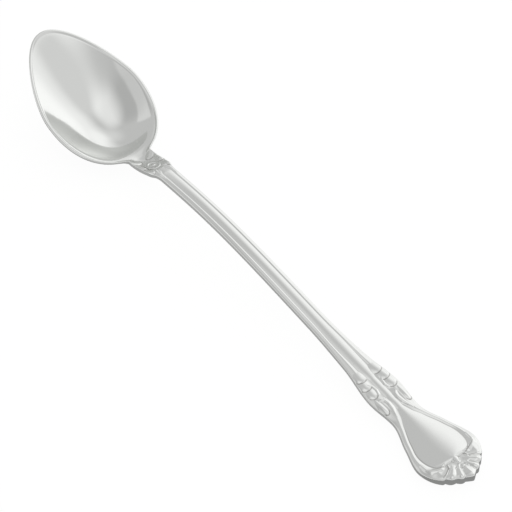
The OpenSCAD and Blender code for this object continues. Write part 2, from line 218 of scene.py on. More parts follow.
def curve(stations, end_slope=0.0):
    """A smooth curve through (place, value) stations that never overshoots them."""
    xs = [s[0] for s in stations]
    ys = [s[1] for s in stations]
    slope = [(ys[i + 1] - ys[i]) / (xs[i + 1] - xs[i]) for i in range(len(xs) - 1)]
    at = [end_slope * slope[0]]
    for a, b in zip(slope, slope[1:]):
        at.append(0.0 if a * b <= 0 else 2 * a * b / (a + b))
    at.append(end_slope * slope[-1])

    def value(v):
        if v <= xs[0]:
            return ys[0]
        if v >= xs[-1]:
            return ys[-1]
        i = 0
        while v > xs[i + 1]:
            i += 1
        span = xs[i + 1] - xs[i]
        t = (v - xs[i]) / span
        a, b = at[i] * span, at[i + 1] * span
        return (
            (1 + 2 * t) * (1 - t) ** 2 * ys[i]
            + t * (1 - t) ** 2 * a
            + t * t * (3 - 2 * t) * ys[i + 1]
            - t * t * (1 - t) * b
        )

    return value


# Relief


# A soft bump looks as wide as a round bead when it reaches this much further
SOFT_REACH = 1.35


def soft_bump(away):
    return (1 - min(1.0, away) ** 2) ** 2


def to_line(p, a, b):
    abx, aby = b[0] - a[0], b[1] - a[1]
    px, py = p[0] - a[0], p[1] - a[1]
    t = clamp01((px * abx + py * aby) / (abx * abx + aby * aby))
    return hypot(px - abx * t, py - aby * t), t


class Stroke:
    """A rounded line through points. Over two points at each end it narrows to a share of
    its width."""

    def __init__(self, points, width, start=1.0, stop=1.0, rise=0.45):
        self.points, self.reach, self.rise = points, width / 2 * SOFT_REACH, rise
        last = len(points) - 1
        self.swell = [
            min(mix(start, 1, min(1, i / 2)), mix(stop, 1, min(1, (last - i) / 2))) for i in range(last + 1)
        ]
        # The box that the stroke reaches, outside which its distance needn't be found
        self.low = [min(p[k] for p in points) - self.reach for k in (0, 1)]
        self.high = [max(p[k] for p in points) + self.reach for k in (0, 1)]

    def relief(self, p):
        if not (self.low[0] < p[0] < self.high[0] and self.low[1] < p[1] < self.high[1]):
            return 0.0, 0.0
        away = 1.0
        for i in range(len(self.points) - 1):
            distance, t = to_line(p, self.points[i], self.points[i + 1])
            away = min(away, distance / (self.reach * mix(self.swell[i], self.swell[i + 1], t)))
        return self.rise * soft_bump(away), 0.0


class PaintedShadeLine(Stroke):
    """An engraved line without height: painted shade, darker than the polished steel."""

    def relief(self, p):
        return 0.0, super().relief(p)[0] / self.rise


class Leaf:
    """An oval that ends steeply towards the handle's end, in a narrow dark crease of
    painted shade and duller steel.
    """

    LEAN = 2.2
    # Where the painted shade of the crease lies, and its half width
    CREASE_AT = 0.92
    CREASE_HALF = 0.17

    def __init__(self, centre, half_length, half_width, turn, rise=0.65):
        self.centre, self.size, self.rise = centre, (half_length, half_width), rise
        self.c, self.s = cos(radians(turn)), sin(radians(turn))

    def relief(self, p):
        x, y = p[0] - self.centre[0], p[1] - self.centre[1]
        along = (x * self.c + y * self.s) / self.size[0]
        across = (y * self.c - x * self.s) / self.size[1]
        if along > 0:
            along *= self.LEAN
        away = hypot(along, across) / SOFT_REACH
        # Painted shade in the crease at the leaf's steep end
        crease_dull_and_shade = soft_bump(abs(away - self.CREASE_AT) / self.CREASE_HALF) * ease((along - 0.25) * 2)
        return self.rise * max(0.0, 1 - away * away), crease_dull_and_shade


class SpoonForm:
    """The spoon's form, worked out from its sizes."""

    # Outline: how pointed the handle's end is, and the bowl's lean and fullness
    END_POINT = 1.6
    EGG = 0.2
    EGG_POWER = 1.75
    # Fullness of the bowl's back and inside, and how far each is deeper towards the heel
    BACK = -0.1
    BACK_SKEW = 0.25
    HOLLOW = -0.1
    HOLLOW_SKEW = 0.6
    # Height of the outer wall as a share of the thickness, along the spoon and round its end
    EDGE = 0.42
    END_EDGE = 0.9
    # Level of the groove inside a thread as a share of the thread's height
    GROOVE = 0.66
    # Degrees round the end at which the shell and its middle lobe start
    SHELL_TURN = 39
    MIDDLE_TURN = 68
    # Least share of a rib that the panel keeps
    PANEL_SHARE = 0.2

    def __init__(self, size, relief, detail):
        self.size, self.cut, self.detail = size, relief, detail
        s = size
        self.heel = s.bowl
        self.stem_at = s.bowl + s.neck
        self.grip_at = s.overall - s.grip
        self.shoulder_at = self.grip_at - s.shoulder
        self.stem_length = self.shoulder_at - self.stem_at
        self.end_round = s.grip * 0.4
        self.round_at = s.overall - self.end_round
        self.shell_at = self.round_at + self.end_round * sin(radians(self.SHELL_TURN))
        self.half_bowl = s.bowl / 2
        # The egg is widest between its middle and the heel
        self.egg_peak = max(self.egg(i * 0.02) for i in range(31))
        self.rim_height = s.bowl_depth + s.bowl_floor
        self.side_view()
        self.plan_view()
        self.ornament()
        low = min(self.back(self.bowl_rib(self.bowl_place(i)), 0) for i in range(detail.bowl_ribs + 1))
        self.lowest = low + s.rest_flat

    def side_view(self):
        """Thickness of the blank, and height of its edge along the spoon."""
        s = self.size
        self.blank = curve(
            [
                (self.heel, s.neck_thickness),
                (self.stem_at, s.stem_thickness),
                (self.shoulder_at, mix(s.grip_thickness, s.stem_thickness, 0.4)),
                (s.overall, s.grip_thickness),
            ]
        )
        front = [
            (0, self.rim_height + s.tip_rise),
            (self.half_bowl, self.rim_height),
            (self.heel, s.neck_height),
            (self.stem_at, mix(s.neck_height, s.arch, 0.8)),
        ]
        line = curve(front, 1)
        steps = 200
        places = [mix(self.half_bowl, self.heel, i / steps) for i in range(steps)]
        bowl_low = min(
            line(p) - self.rim_height * self.dish((p, 0), 0, self.BACK, self.BACK_SKEW) for p in places
        )
        rest_at = self.grip_at + s.grip * 0.47
        rest = self.blank(rest_at) + bowl_low - s.rest_flat / 2
        self.height = curve(
            front
            + [
                (self.stem_at + self.stem_length * 0.24, s.arch),
                (self.shoulder_at, mix(s.grip_thickness, s.arch, 0.155)),
                (rest_at, rest),
                (s.overall, rest + s.end_rise),
            ],
            1,
        )

    def plan_view(self):
        """Half width from neck to grip, width of the border, and height and crest of its
        thread, a share of the stem's thread and of the border's width."""
        s, cut = self.size, self.cut
        self.plan = curve(
            [
                (self.heel - s.neck, s.neck_width / 2),
                (self.heel + s.neck * 0.36, s.neck_width / 2),
                (self.heel + s.neck * 0.70, mix(s.stem_front, s.neck_width, 0.78) / 2),
                (self.heel + s.neck * 0.84, mix(s.stem_front, s.neck_width, 0.18) / 2),
                (self.stem_at, s.stem_front / 2),
                (self.shoulder_at - self.stem_length * 0.2, mix(s.stem_front, s.stem_back, 0.7) / 2),
                (self.shoulder_at, mix(s.stem_back, s.shoulder_width, 0.3) / 2),
                (self.shoulder_at + s.shoulder * 0.61, s.shoulder_width / 2),
                (self.grip_at, s.waist / 2),
                (mix(self.grip_at, self.round_at, 0.52), mix(s.waist, s.grip_width, 0.55) / 2),
                (self.round_at, s.grip_width / 2),
            ]
        )
        thread = cut.thread_width
        waist_at = mix(self.grip_at, self.round_at, 0.65)
        self.border_plan = curve(
            [
                (self.half_bowl, s.bowl_width * 0.14),
                (self.heel - s.neck * 0.2, s.bowl_width * 0.14),
                (self.heel + s.neck * 0.2, s.neck_width * 0.42),
                (self.heel + s.neck * 0.75, s.neck_width * 0.34),
                (self.heel + s.neck * 0.95, thread),
                (self.stem_at, thread),
                (self.shoulder_at - self.stem_length * 0.12, thread * 1.03),
                (self.shoulder_at, thread * 1.5),
                (self.shoulder_at + s.shoulder * 0.22, thread * 2),
                (self.shoulder_at + s.shoulder * 0.45, s.shoulder_width * 0.4),
                (self.shoulder_at + s.shoulder * 0.8, s.shoulder_width * 0.4),
                (self.grip_at, thread * 2.1),
                (self.grip_at + s.shoulder * 0.15, thread * 1.4),
                (waist_at, thread * 1.25),
                (self.round_at, thread * 2.05),
                (mix(self.round_at, self.shell_at, 0.5), thread * 2.6),
                (self.shell_at, cut.shell_depth * 1.15),
                (s.overall, cut.shell_depth * 1.1),
            ]
        )
        self.roll_plan = curve(
            [
                (self.heel - s.neck * 0.1, 0.0),
                (self.heel + s.neck * 0.5, 0.4),
                (self.stem_at, 1.0),
                (self.shoulder_at, 1.0),
                (self.shoulder_at + s.shoulder * 0.4, 0.8),
                (self.shoulder_at + s.shoulder * 0.66, 0.8),
                (self.shoulder_at + s.shoulder * 0.8, 1.4),
                (self.grip_at, 1.4),
                (waist_at, 1.3),
                (self.round_at, 1.9),
            ]
        )
        self.crest_plan = curve(
            [
                (self.shoulder_at - self.stem_length * 0.1, 0.75),
                (self.shoulder_at + s.shoulder * 0.3, 0.6),
                (self.grip_at, 0.55),
                (self.grip_at + s.grip * 0.2, 0.58),
            ]
        )
        self.grip_panel = s.grip_width / 2 - self.border_plan(self.round_at)

    # Places of the ornament, as shares of a section's length and of its half width

    def on_neck(self, along, across):
        return (self.heel + self.size.neck * along, self.size.neck_width / 2 * across)

    def on_shoulder(self, along, across):
        return (self.shoulder_at + self.size.shoulder * along, self.size.shoulder_width / 2 * across)

    def on_grip(self, along, across):
        return (mix(self.grip_at, self.round_at, along), self.size.grip_width / 2 * across)

    def on_end(self, along, across):
        return (self.size.overall - self.cut.shell_depth * along, self.size.grip_width / 2 * across)

    def ornament(self):
        """Strokes and leaves on the side of +Y; the other side mirrors them."""
        s, cut = self.size, self.cut
        neck, shoulder, grip, end = self.on_neck, self.on_shoulder, self.on_grip, self.on_end
        scroll = cut.thread_width * 0.62
        boss = neck(0.47, 0)
        ring = [
            (boss[0] + s.neck_width * 0.26 * cos(pi * i / 9), s.neck_width * 0.19 * sin(pi * i / 9))
            for i in range(10)
        ]
        self.neck_marks = [
            Stroke(ring, scroll),
            Stroke(
                [neck(0.64, 0.34), neck(0.78, 0.48), neck(0.92, 0.50), neck(1.04, 0.48)],
                scroll, 0.5, 0.4,
            ),
            Leaf(neck(0.46, 0), s.neck_width * 0.15, s.neck_width * 0.10, 0),
            Leaf(neck(0.16, 0.50), s.neck * 0.13, s.neck_width * 0.12, -40),
            Leaf(neck(0.42, 0.78), s.neck * 0.17, s.neck_width * 0.10, 0),
            Leaf(neck(0.72, 0.80), s.neck * 0.13, s.neck_width * 0.10, -8),
        ]
        self.shoulder_marks = [
            Stroke(
                [
                    shoulder(0.39, 0.47), shoulder(0.45, 0.32), shoulder(0.52, 0.28),
                    shoulder(0.58, 0.35), shoulder(0.61, 0.50), shoulder(0.60, 0.66),
                ],
                scroll, 0.4, 0.3,
            ),
            Stroke(
                [
                    shoulder(0.67, 0.60), shoulder(0.67, 0.46), shoulder(0.70, 0.35), shoulder(0.76, 0.31),
                    shoulder(0.85, 0.35), shoulder(0.94, 0.45), shoulder(1.00, 0.52),
                ],
                cut.thread_width, 0.3, 0.3, 0.6,
            ),
            Leaf(shoulder(0.285, 0.52), s.shoulder * 0.10, s.shoulder_width * 0.12, 12, 0.5),
            Leaf(shoulder(0.415, 0.62), s.shoulder * 0.10, s.shoulder_width * 0.12, 12, 0.5),
            Leaf(shoulder(0.56, 0.62), s.shoulder * 0.10, s.shoulder_width * 0.11, 10, 0.5),
            Leaf(shoulder(0.81, 0.72), s.shoulder * 0.15, s.shoulder_width * 0.07, 0, 0.5),
        ]
        self.curl = Stroke(
            [
                grip(0.93, 0.84), end(1.90, 0.83), end(1.68, 0.76), end(1.54, 0.65), end(1.50, 0.52),
                end(1.54, 0.42), end(1.60, 0.33),
            ],
            cut.thread_width * 1.2, 0.6, 0.12, 0.75,
        )
        eye = end(0.83, 0)
        fine = cut.thread_width * 0.22
        arc = [
            (eye[0] + cut.shell_depth * 0.25 * cos(radians(a)), cut.shell_depth * 0.25 * sin(radians(a)))
            for a in range(60, 181, 15)
        ]
        self.end_marks = [
            self.curl,
            PaintedShadeLine([end(1.78, 0.84), end(1.66, 0.69), end(1.52, 0.52), end(1.44, 0.39)], fine, 0.2, 0.8),
            PaintedShadeLine([end(1.46, 0.29), end(1.21, 0.36), end(1.04, 0.53), end(0.98, 0.68)], fine * 1.2, 0.8, 0.2),
            Stroke([end(1.42, 0.32), end(1.22, 0.33), end(1.02, 0.29), end(0.94, 0.18)], scroll, 0.5, 0.8),
            Stroke(arc, scroll * 0.8),
            Leaf(eye, cut.shell_depth * 0.12, cut.shell_depth * 0.12, 0),
        ]

    def scrolls(self, p):
        q = (p[0], abs(p[1]))
        s = self.size
        if self.heel - s.neck * 0.2 < q[0] < self.stem_at + self.cut.thread_width:
            marks = self.neck_marks
        elif self.shoulder_at - s.shoulder * 0.1 < q[0] < self.grip_at:
            marks = self.shoulder_marks
        elif self.grip_at <= q[0] < self.round_at:
            marks = [self.curl]
        elif q[0] >= self.round_at:
            marks = self.end_marks
        else:
            return 0.0, 0.0
        found = [m.relief(q) for m in marks]
        return max(f[0] for f in found), max(f[1] for f in found)

    # Bowl

    def egg(self, u):
        return sqrt(max(0.0, 1 - abs(u) ** self.EGG_POWER)) * (1 + self.EGG * u)

    def egg_radius(self, p, inset):
        """0 at the bowl's deepest point and 1 on its outline."""
        u = (p[0] - self.half_bowl) / (self.half_bowl - inset)
        full = (1 + self.EGG * u) * (self.size.bowl_width / 2 - inset) / self.egg_peak
        return sqrt(abs(u) ** self.EGG_POWER + (p[1] / max(full, self.size.rim)) ** 2)

    def dish(self, p, inset, fullness, skew):
        """1 at the bowl's middle and 0 on its outline, deeper towards the heel."""
        square = self.egg_radius(p, inset) ** 2
        lean = 1 + skew * (p[0] - self.half_bowl) / self.half_bowl
        return (1 - square) * (1 + fullness * square) * lean

    def bowl_half(self, place):
        return self.size.bowl_width / 2 * self.egg((place - self.half_bowl) / self.half_bowl) / self.egg_peak

    def half_width(self, place):
        if place < self.half_bowl:
            return self.bowl_half(place)
        if place > self.heel:
            return self.plan(place)
        return smooth_max(self.bowl_half(place), self.plan(place), self.size.neck_width * 0.30)

    # Ribs: (edge point, centre point, turn round the handle's end in degrees)

    def straight_rib(self, place):
        return ((place, self.half_width(place)), (place, 0.0), 0.0)

    def bowl_place(self, i):
        return self.heel * (1 - cos(pi / 2 * i / self.detail.bowl_ribs))

    def bowl_rib(self, place):
        """Towards the tip, a rib leans back so that it meets the outline more squarely."""
        lead = self.size.bowl * 0.12 * max(0.0, 1 - place / (self.size.bowl * 0.5)) ** 2
        return ((place, self.half_width(place)), (place + lead, 0.0), 0.0)

    def lobe(self, turn):
        """One flute per lobe, 1 on its crest and 0 in the notches beside it."""
        if turn > self.MIDDLE_TURN:
            return sin(radians(90 * (turn - self.MIDDLE_TURN) / (90 - self.MIDDLE_TURN)))
        return abs(sin(radians(180 * (turn - self.SHELL_TURN) / self.lobe_turn())))

    def lobe_turn(self):
        return (self.MIDDLE_TURN - self.SHELL_TURN) / 2

    def shell_share(self, turn):
        """0 before the shell, and 1 from its first notch on."""
        quarter = self.lobe_turn() / 4
        return ease((turn - self.SHELL_TURN + quarter) / quarter)

    def end_rib(self, turn):
        s = self.size
        t = radians(turn)
        lobed = 1 - self.cut.notch / self.end_round * (1 - self.lobe(turn)) * self.shell_share(turn)
        edge = (
            self.round_at + self.end_round * sin(t) * lobed,
            s.grip_width / 2 * max(0.0, cos(t)) ** self.END_POINT * lobed,
        )
        if turn == 90:
            edge = (edge[0], 0.0)
        return (edge, (mix(self.round_at, s.overall - self.end_round * 0.62, sin(t)), 0.0), turn)

    # Heights

    def border(self, rib):
        """Width of the border, and the rib's length."""
        reach = hypot(rib[0][0] - rib[1][0], rib[0][1] - rib[1][1])
        return min(self.border_plan(rib[0][0]), reach * (1 - self.PANEL_SHARE)), reach

    def rounding(self, d):
        """Drop of the polished edge at a distance d in from it."""
        r = self.cut.edge_round
        return 0.0 if d >= r else sqrt(max(0.0, r * r - (r - d) ** 2)) - r

    def roll(self, d, width, crest, turned):
        """The border's thread, as a share of its height: a broad flank up from the edge and a
        short one down to the groove's level. Turned round the end, it flattens to that level."""
        crest *= width
        crest = mix(crest, min(crest, self.cut.thread_width), turned)
        if d < crest:
            return mix(1, self.GROOVE, turned) * (1 - ((crest - d) / crest) ** 1.5)
        drop = (1 - self.GROOVE) * ease((d - crest) / (width - crest))
        return mix(1 - drop, self.GROOVE, turned)

    def hollow(self, p):
        """Depth of the bowl, which sends a shallow hollow into the neck."""
        s = self.size
        if p[0] >= self.stem_at:
            return 0.0
        depth = s.bowl_depth * self.dish(p, s.rim, self.HOLLOW, self.HOLLOW_SKEW)
        soft = s.rim * mix(0.2, 1.8, ease((p[0] - self.half_bowl) / self.half_bowl))
        run = s.neck * 0.35
        dip = s.neck_dip * ease((p[0] - self.heel + run) / run) * ease((self.stem_at - p[0]) / (run * 2))
        if dip > 0:
            dip *= max(0.0, 1 - (p[1] / self.half_width(p[0])) ** 2)
        return max(0.0, smooth_max(depth, dip, soft) - soft / 4 * ease((p[0] - self.heel) / run))

    def panel(self, rib, d):
        """Height of the crowned panel inside the border, as a share of the grip's crown."""
        edge, reach = self.border(rib)
        turned = sin(radians(rib[2])) ** 2
        half_panel = reach - edge if rib[2] == 0 else self.grip_panel * mix(1, 0.6, turned)
        inner = clamp01((d - edge) / (reach - edge))
        starts = ease((rib[0][0] - self.heel - self.size.neck * 0.4) / (self.size.neck * 0.5))
        return half_panel / self.grip_panel * (1 - (1 - inner) ** 2) * starts

    def flute(self, rib, d, edge):
        """Height of the shell's flutes, as a share of the scrolls' height."""
        if rib[2] == 0:
            return 0.0
        across = window(d, -edge * 0.2, edge * 0.9, edge * 0.35)
        return 0.7 * self.shell_share(rib[2]) * self.lobe(rib[2]) * across

    def top(self, rib, d):
        """Height and crease share of the top at a distance d in from the edge; the crease share
        is painted shade and duller steel.
        """
        s, cut = self.size, self.cut
        edge, reach = self.border(rib)
        p = (mix(rib[0][0], rib[1][0], d / reach), mix(rib[0][1], rib[1][1], d / reach))
        in_bowl = 1 - ease((p[0] - self.heel + s.neck * 0.2) / (s.neck * 0.3))
        # The die's forms stand on the thread's groove, and the highest of them shows
        thread = cut.thread_height * self.roll_plan(rib[0][0])
        thread_ends = ease((rib[2] - 20) / 12)
        roll = thread * self.roll(d, edge, self.crest_plan(rib[0][0]), thread_ends)
        level = min(roll, thread * self.GROOVE)
        crown = cut.crown * self.panel(rib, d) * (1 - in_bowl)
        mark, crease_dull_and_shade = self.scrolls(p)
        foot = ease(d / cut.foot)
        scroll = cut.scroll_height * mark * foot
        flute = cut.scroll_height * self.flute(rib, d, edge)
        raised = level + max(crown, scroll, roll - level, flute)
        rim = s.rim * 0.35 * (sin(pi * clamp01(d / s.rim)) - 1) * in_bowl
        z = self.height(p[0]) - self.hollow(p) + rim + raised + self.rounding(d) * (1 - in_bowl)
        # A fine line of painted shade along the die's inner edge, in the grip's grooves
        line = soft_bump(abs(d - edge) / (cut.thread_width * 0.1))
        line *= 0.7 * window(p[0], self.grip_at + s.grip * 0.08, self.shell_at - s.grip * 0.06, s.grip * 0.1)
        return p, z, max(crease_dull_and_shade * foot, line) * (1 - in_bowl)

    def back(self, rib, across):
        """Height of the back at a share of the rib, 1 at the edge and 0 on the centre line."""
        s = self.size
        p = (mix(rib[1][0], rib[0][0], across), mix(rib[1][1], rib[0][1], across))
        h = self.height(p[0])
        wall = s.rim * 0.8
        bowl = h - wall - (self.rim_height - wall) * self.dish(p, 0, self.BACK, self.BACK_SKEW)
        if p[0] < self.half_bowl:
            return bowl
        heel = h - s.neck_thickness
        heel += s.neck_thickness * (1 - self.EDGE) * (p[1] / (s.neck_width / 2)) ** 2
        wall_share = mix(self.EDGE, self.END_EDGE, ease(rib[2] / 40))
        if p[0] < self.heel:
            return min(smooth_min(bowl, heel, s.neck_thickness * 0.6), h - s.rim * 0.7)
        bar = h - self.blank(p[0]) * (1 - (1 - wall_share) * across**3)
        return mix(heel, bar, ease((p[0] - self.heel) / (s.neck * 0.5)))

    def half_ring(self, rib):
        """From the back's centre line over the edge to the top's centre line."""
        d = self.detail
        ring = []
        for k in range(d.back_steps + 1):
            across = sin(pi / 2 * k / d.back_steps)
            x, y = mix(rib[1][0], rib[0][0], across), mix(rib[1][1], rib[0][1], across)
            ring.append((x, y, self.back(rib, across), 0.0))
        edge, reach = self.border(rib)
        for k in range(d.border_steps + d.panel_steps + 1):
            if k <= d.border_steps:
                inset = edge * k / d.border_steps
            else:
                inset = mix(edge, reach, (k - d.border_steps) / d.panel_steps)
            p, z, groove = self.top(rib, inset)
            ring.append((p[0], p[1], z, groove))
        # What would pass the floor is worn flat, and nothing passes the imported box
        high = CAD_BOX[1]
        return [
            (x + TIP_X, min(y, high.y), min(max(0.0, z - self.lowest), high.z), groove)
            for x, y, z, groove in ring
        ]


# Meshes


def deselect():
    if bpy.context.object and bpy.context.object.mode != "OBJECT":
        bpy.ops.object.mode_set(mode="OBJECT")
    bpy.ops.object.select_all(action="DESELECT")


def settings():
    return bpy.context.scene.spoon


def spoon_form():
    own = settings()
    return SpoonForm(own.sizes, own.relief, own.detail)


def press(name, ribs, form):
    """A flat strip, pressed so that its rows become the ribs' half rings."""
    rings = [form.half_ring(rib) for rib in ribs]
    rows, columns = len(rings) - 1, len(rings[0]) - 1
    deselect()
    bpy.ops.mesh.primitive_grid_add(x_subdivisions=rows, y_subdivisions=columns, size=1)
    strip = bpy.context.object
    strip.name = name
    # The groove share carries duller steel and painted shade in creases, grooves and engraved lines
    groove = strip.data.attributes.new("groove", "FLOAT", "POINT")
    for vertex in strip.data.vertices:
        row = round((vertex.co.x + 0.5) * rows)
        column = round((vertex.co.y + 0.5) * columns)
        x, y, z, depth = rings[row][column]
        vertex.co = (x, y, z)
        groove.data[vertex.index].value = depth
    return strip


def close(strip, seams):
    """Doubles the strip over the plane through its length and caps it at its seams."""
    touching = 0.0005 * MM
    bpy.ops.object.modifier_add(type="MIRROR")
    double = strip.modifiers[-1]
    double.use_axis = (False, True, False)
    double.merge_threshold = touching
    bpy.ops.object.modifier_apply(modifier=double.name)
    # The new strip is selected all over, which would fill both its ends at each seam
    bpy.ops.object.mode_set(mode="EDIT")
    bpy.ops.mesh.select_mode(type="EDGE")
    bpy.ops.mesh.select_all(action="DESELECT")
    bpy.ops.object.mode_set(mode="OBJECT")
    for place in seams:
        at_seam = [abs(vertex.co.x - place - TIP_X) < touching * 2 for vertex in strip.data.vertices]
        for edge in strip.data.edges:
            edge.select = all(at_seam[i] for i in edge.vertices)
        bpy.ops.object.mode_set(mode="EDIT")
        bpy.ops.mesh.edge_face_add()
        bpy.ops.mesh.select_all(action="DESELECT")
        bpy.ops.object.mode_set(mode="OBJECT")
    bpy.ops.object.mode_set(mode="EDIT")
    bpy.ops.mesh.select_all(action="SELECT")
    bpy.ops.mesh.remove_doubles(threshold=touching)
    bpy.ops.mesh.normals_make_consistent(inside=False)
    bpy.ops.mesh.select_all(action="DESELECT")
    bpy.ops.object.mode_set(mode="OBJECT")
    bpy.ops.object.shade_smooth_by_angle(angle=radians(55))
    return strip


def finish_piece(piece, node):
    piece.data.materials.clear()
    piece.data.materials.append(polished_steel())
    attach(piece, "root")
    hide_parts(node)


# Materials


def add_node(tree, kind, settings=None, **inputs):
    """Adds a node with its settings, and sets or links its inputs by name."""
    node = tree.nodes.new(kind)
    for key, value in (settings or {}).items():
        setattr(node, key, value)
    for key, value in inputs.items():
        socket = node.inputs[int(key[1:])] if key[0] == "i" and key[1:].isdigit() else node.inputs[key]
        if isinstance(value, bpy.types.NodeSocket):
            tree.links.new(value, socket)
        else:
            socket.default_value = value
    return node


def fresh_tree(holder):
    holder.use_nodes = True
    holder.node_tree.nodes.clear()
    return holder.node_tree


def polished_steel():
    """18/10 stainless steel, coined and mirror polished: a bright neutral mirror that is
    slightly duller and darker in the grooves, where the polishing wheel doesn't reach.
    The darker colour there is partly painted shade, laid in creases, grooves and engraved lines."""
    name = "Mirror-polished stainless steel"
    if name in bpy.data.materials:
        return bpy.data.materials[name]
    own = settings().finish
    material = bpy.data.materials.new(name)
    tree = fresh_tree(material)
    place = add_node(tree, "ShaderNodeTexCoord").outputs["Object"]
    groove = add_node(tree, "ShaderNodeAttribute", {"attribute_name": "groove"}).outputs["Fac"]
    # Buffing lines run along the spoon, 0.3 mm apart; finer ones would not show
    lines = add_node(tree, "ShaderNodeMapping", Vector=place, Scale=(120, 3300, 3300))
    buffing = add_node(tree, "ShaderNodeTexNoise", Vector=lines.outputs["Vector"], Scale=1.0, Detail=3.0)
    # Slow changes over about 12 mm, from handling and washing
    haze = add_node(tree, "ShaderNodeTexNoise", Vector=place, Scale=85.0, Detail=4.0)
    dull = add_node(
        tree, "ShaderNodeMapRange", Value=haze.outputs["Fac"],
        i1=0.35, i2=0.7, i3=own.roughness * 0.8, i4=own.roughness * 1.35,
    )
    rough = add_node(tree, "ShaderNodeMath", {"operation": "MULTIPLY_ADD"}, i0=groove, i1=0.14,
                     i2=dull.outputs["Result"])
    # Partly painted shade: the groove colour darkens creases, grooves and engraved lines
    tint = add_node(tree, "ShaderNodeMix", {"data_type": "RGBA"}, i0=groove,
                    i6=(*own.steel, 1), i7=(*own.groove, 1))
    bump = add_node(tree, "ShaderNodeBump", Strength=0.02, Distance=0.00005, Height=buffing.outputs["Fac"])
    shader = add_node(tree, "ShaderNodeBsdfPrincipled", Metallic=1.0, Roughness=rough.outputs["Value"],
                      Normal=bump.outputs["Normal"])
    tree.links.new(tint.outputs[2], shader.inputs["Base Color"])
    output = add_node(tree, "ShaderNodeOutputMaterial")
    tree.links.new(shader.outputs["BSDF"], output.inputs["Surface"])
    return material


def direct_rays(tree):
    """1 for what the camera, a mirror or a glass shows, 0 for light on other surfaces."""
    path = add_node(tree, "ShaderNodeLightPath")
    shown = path.outputs["Is Camera Ray"]
    for other in ("Is Glossy Ray", "Is Transmission Ray"):
        shown = add_node(tree, "ShaderNodeMath", {"operation": "MAXIMUM"}, i0=shown,
                         i1=path.outputs[other]).outputs["Value"]
    return shown


def white_floor():
    """Matt white sweep paper: shows white, and the spoon's soft shadow on it."""
    material = bpy.data.materials.new("Matt white paper")
    tree = fresh_tree(material)
    paper = add_node(tree, "ShaderNodeBsdfDiffuse", Color=(*hex_rgb("#F4F4F2"), 1))
    # A tenth of what shows is lit paper with the shadow on it, and the rest an even white
    glow = add_node(tree, "ShaderNodeEmission", Color=(1, 1, 1, 1), Strength=1.04)
    shown = add_node(tree, "ShaderNodeMath", {"operation": "MULTIPLY"}, i0=direct_rays(tree), i1=0.9)
    surface = add_node(tree, "ShaderNodeMixShader", i0=shown.outputs["Value"],
                       i1=paper.outputs["BSDF"], i2=glow.outputs["Emission"])
    add_node(tree, "ShaderNodeOutputMaterial", Surface=surface.outputs["Shader"])
    return material


def painted_shade_card():
    """Painted shade: a glowing grey card that only the steel sees, with painted shadow
    towards its ends; it draws the dark line along a polished edge.
    """
    name = "Matt grey card"
    if name in bpy.data.materials:
        return bpy.data.materials[name]
    material = bpy.data.materials.new(name)
    tree = fresh_tree(material)
    place = add_node(tree, "ShaderNodeTexCoord").outputs["Object"]
    along = add_node(tree, "ShaderNodeSeparateXYZ", Vector=place).outputs["X"]
    away = add_node(tree, "ShaderNodeMath", {"operation": "ABSOLUTE"}, i0=along).outputs["Value"]
    # Distances from the spoon's middle, and the card's strength at them: painted shadow,
    # darker towards the ends
    shade = add_node(tree, "ShaderNodeMapRange", {"interpolation_type": "SMOOTHSTEP"}, Value=away,
                     i1=74 * MM, i2=88 * MM, i3=0.95, i4=0.65)
    card = add_node(tree, "ShaderNodeEmission", Color=(*hex_rgb("#B7B7B7"), 1),
                    Strength=shade.outputs["Result"])
    add_node(tree, "ShaderNodeOutputMaterial", Surface=card.outputs["Emission"])
    return material


def painted_light_glow(centre, radius, strength):
    """Painted reflection of a soft light: a glow bright in its middle and clear at its edge."""
    material = bpy.data.materials.new("Sheer white cloth")
    tree = fresh_tree(material)
    place = add_node(tree, "ShaderNodeTexCoord").outputs["Object"]
    away = add_node(tree, "ShaderNodeVectorMath", {"operation": "DISTANCE"}, i0=place, i1=centre)
    glow = add_node(tree, "ShaderNodeMapRange", {"interpolation_type": "SMOOTHSTEP"},
                    Value=away.outputs["Value"], i1=0.0, i2=radius, i3=strength, i4=0.0)
    light = add_node(tree, "ShaderNodeEmission", Color=(1, 1, 1, 1), Strength=glow.outputs["Result"])
    clear = add_node(tree, "ShaderNodeBsdfTransparent")
    # Painted light: a glow added over a clear surface, no lamp
    cloth = add_node(tree, "ShaderNodeAddShader", i0=light.outputs["Emission"], i1=clear.outputs["BSDF"])
    add_node(tree, "ShaderNodeOutputMaterial", Surface=cloth.outputs["Shader"])
    return material


# Operators


class SpoonOperator:
    bl_options = {"REGISTER", "UNDO"}


class SPOON_OT_bowl(SpoonOperator, bpy.types.Operator):
    """Presses the egg-shaped bowl with its rounded rim and the drop at its heel"""

    bl_idname = "spoon.bowl"
    bl_label = "Bowl"

    def execute(self, context):
        form = spoon_form()
        ribs = [form.bowl_rib(form.bowl_place(i)) for i in range(form.detail.bowl_ribs + 1)]
        piece = close(press("spoon_bowl", ribs, form), [form.heel])
        finish_piece(piece, "bowl")
        return {"FINISHED"}


class SPOON_OT_neck(SpoonOperator, bpy.types.Operator):
    """Presses the neck with its ringed boss, leaves and the arms of the threads"""

    bl_idname = "spoon.neck"
    bl_label = "Neck"

    def execute(self, context):
        form = spoon_form()
        count = form.detail.neck_ribs
        ribs = [form.straight_rib(mix(form.heel, form.stem_at, i / count)) for i in range(count + 1)]
        piece = close(press("spoon_neck", ribs, form), [form.heel, form.stem_at])
        finish_piece(piece, "neck")
        return {"FINISHED"}


class SPOON_OT_stem(SpoonOperator, bpy.types.Operator):
    """Presses the arched stem with a thread along each edge"""

    bl_idname = "spoon.stem"
    bl_label = "Stem"

    def execute(self, context):
        form = spoon_form()
        count = form.detail.stem_ribs
        ribs = [form.straight_rib(mix(form.stem_at, form.shoulder_at, i / count)) for i in range(count + 1)]
        piece = close(press("spoon_stem", ribs, form), [form.stem_at, form.shoulder_at])
        finish_piece(piece, "stem")
        return {"FINISHED"}


